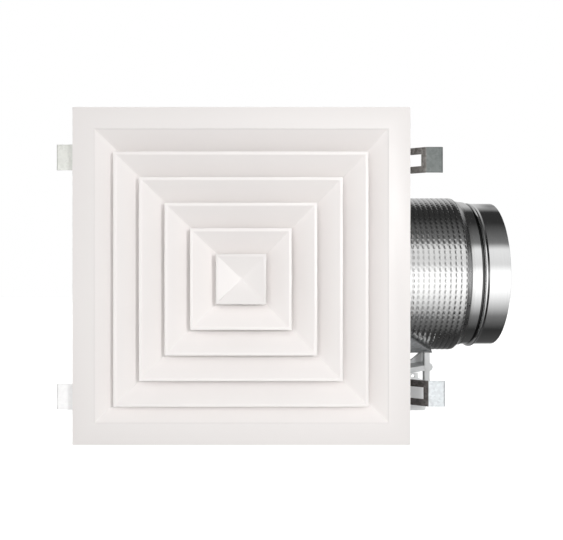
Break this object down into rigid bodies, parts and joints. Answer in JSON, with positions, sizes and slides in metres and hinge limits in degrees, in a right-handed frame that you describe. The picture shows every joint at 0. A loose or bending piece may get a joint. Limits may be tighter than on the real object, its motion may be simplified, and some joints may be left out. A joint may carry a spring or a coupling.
{
  "type": "bathroom extractor fan",
  "caption": "Ceiling extractor fan with a square louvred face, spring clips at its sides, a metal body with a centrifugal blower, and a round side outlet with a bead.",
  "frame": {"origin": "centre of the face flange's back face, in the plane of the ceiling or wall surface", "axes": "+Y goes through the ceiling or wall, away from the room, so the louvres face -Y; +X along the duct outlet; +Z up when the part is held to a wall. For a ceiling, the part is turned so that +Y points up."},
  "size_m": [0.4284, 0.219, 0.3],
  "materials": {
    "face_white": "satin powder coat",
    "galvanised": "spangled zinc",
    "duct_zinc": "bright, brushed round the duct",
    "embossed_zinc": "bright, waffle embossed",
    "clip_zinc": "dull zinc plate",
    "fastener_zinc": "zinc plate",
    "ground_steel": "ground",
    "spring_steel": "spring temper",
    "motor_paint": "semi-gloss black",
    "laminations": "stacked sheets",
    "copper": "enamelled winding",
    "impeller_black": "moulded",
    "rubber_black": "matte",
    "foam_grey": "open foam",
    "flap_aluminium": "satin",
    "capacitor_can": "satin",
    "grey_plastic": "fine moulded texture",
    "block_plastic": "moulded",
    "gland_black": "moulded"
  },
  "bodies": {
    "fan_body": {"face_frame": "face_white", "housing_front": "galvanised", "housing_body": "galvanised", "housing_back": "galvanised", "scroll_front_plate": "galvanised", "scroll_wrap": "galvanised", "scroll_back_plate": "galvanised", "scroll_posts": "galvanised", "motor_plate": "galvanised", "capacitor_strap": "galvanised", "outlet_collar": "duct_zinc", "outlet_spigot": "duct_zinc", "embossed_sleeve": "embossed_zinc", "clip_feet": "clip_zinc", "frame_screws": "fastener_zinc", "back_screws": "fastener_zinc", "post_screws": "fastener_zinc", "clip_screws": "fastener_zinc", "motor_screws": "fastener_zinc", "collar_rivets": "fastener_zinc", "lid_screws": "fastener_zinc", "bracket_screws": "fastener_zinc", "motor_bearings": "fastener_zinc", "damper_pin": "ground_steel", "damper_spring": "spring_steel", "motor_can": "motor_paint", "motor_end_cap": "motor_paint", "inlet_ring": "motor_paint", "motor_stator": "copper", "rubber_mounts": "rubber_black", "damper_seat": "rubber_black", "duct_insulation": "foam_grey", "run_capacitor": "capacitor_can", "terminal_box": "grey_plastic", "terminal_lid": "grey_plastic", "duct_bracket": "grey_plastic", "terminal_block": "block_plastic", "cable_gland": "gland_black", "gland_nut": "gland_black"},
    "core": {"louvre_1": "face_white", "louvre_2": "face_white", "louvre_3": "face_white", "louvre_4": "face_white", "centre_louvre": "face_white", "core_crossbars": "face_white", "core_springs": "spring_steel"},
    "rotor": {"impeller_ring": "impeller_black", "impeller_blades": "impeller_black", "impeller_hub": "impeller_black", "impeller_nut": "fastener_zinc", "motor_shaft": "ground_steel", "motor_rotor": "laminations"},
    "flap_front": {"damper_flap_front": "flap_aluminium"},
    "flap_back": {"damper_flap_back": "flap_aluminium"},
    "clip_ul": {"clip_upper_left": "clip_zinc"},
    "clip_ll": {"clip_lower_left": "clip_zinc"},
    "clip_ur": {"clip_upper_right": "clip_zinc"},
    "clip_lr": {"clip_lower_right": "clip_zinc"}
  },
  "joints": [
    {"name": "core_pull", "type": "slide", "parent": "fan_body", "child": "core", "axis": [0, -1, 0], "range_m": [0, 0.06]},
    {"name": "impeller_spin", "type": "hinge", "parent": "fan_body", "child": "rotor", "pos_m": [-0.015, 0.16, -0.04], "axis": [0, 1, 0], "continuous": true},
    {"name": "flap_front_swing", "type": "hinge", "parent": "fan_body", "child": "flap_front", "pos_m": [0.165, 0.119, 0], "axis": [0, 0, 1], "range_deg": [0, 80], "stiffness_Nm_per_rad": 0.02},
    {"name": "flap_back_swing", "type": "hinge", "parent": "fan_body", "child": "flap_back", "pos_m": [0.165, 0.119, 0], "axis": [0, 0, -1], "range_deg": [0, 80], "stiffness_Nm_per_rad": 0.02},
    {"name": "clip_ur_flex", "type": "hinge", "parent": "fan_body", "child": "clip_ur", "pos_m": [0.1317, 0.036, 0.1064], "axis": [0, 0, -1], "range_deg": [0, 12], "stiffness_Nm_per_rad": 4},
    {"name": "clip_lr_flex", "type": "hinge", "parent": "fan_body", "child": "clip_lr", "pos_m": [0.1317, 0.036, -0.1085], "axis": [0, 0, -1], "range_deg": [0, 12], "stiffness_Nm_per_rad": 4},
    {"name": "clip_ul_flex", "type": "hinge", "parent": "fan_body", "child": "clip_ul", "pos_m": [-0.1197, 0.036, 0.1085], "axis": [0, 0, 1], "range_deg": [0, 12], "stiffness_Nm_per_rad": 4},
    {"name": "clip_ll_flex", "type": "hinge", "parent": "fan_body", "child": "clip_ll", "pos_m": [-0.1197, 0.036, -0.1112], "axis": [0, 0, 1], "range_deg": [0, 12], "stiffness_Nm_per_rad": 4}
  ]
}
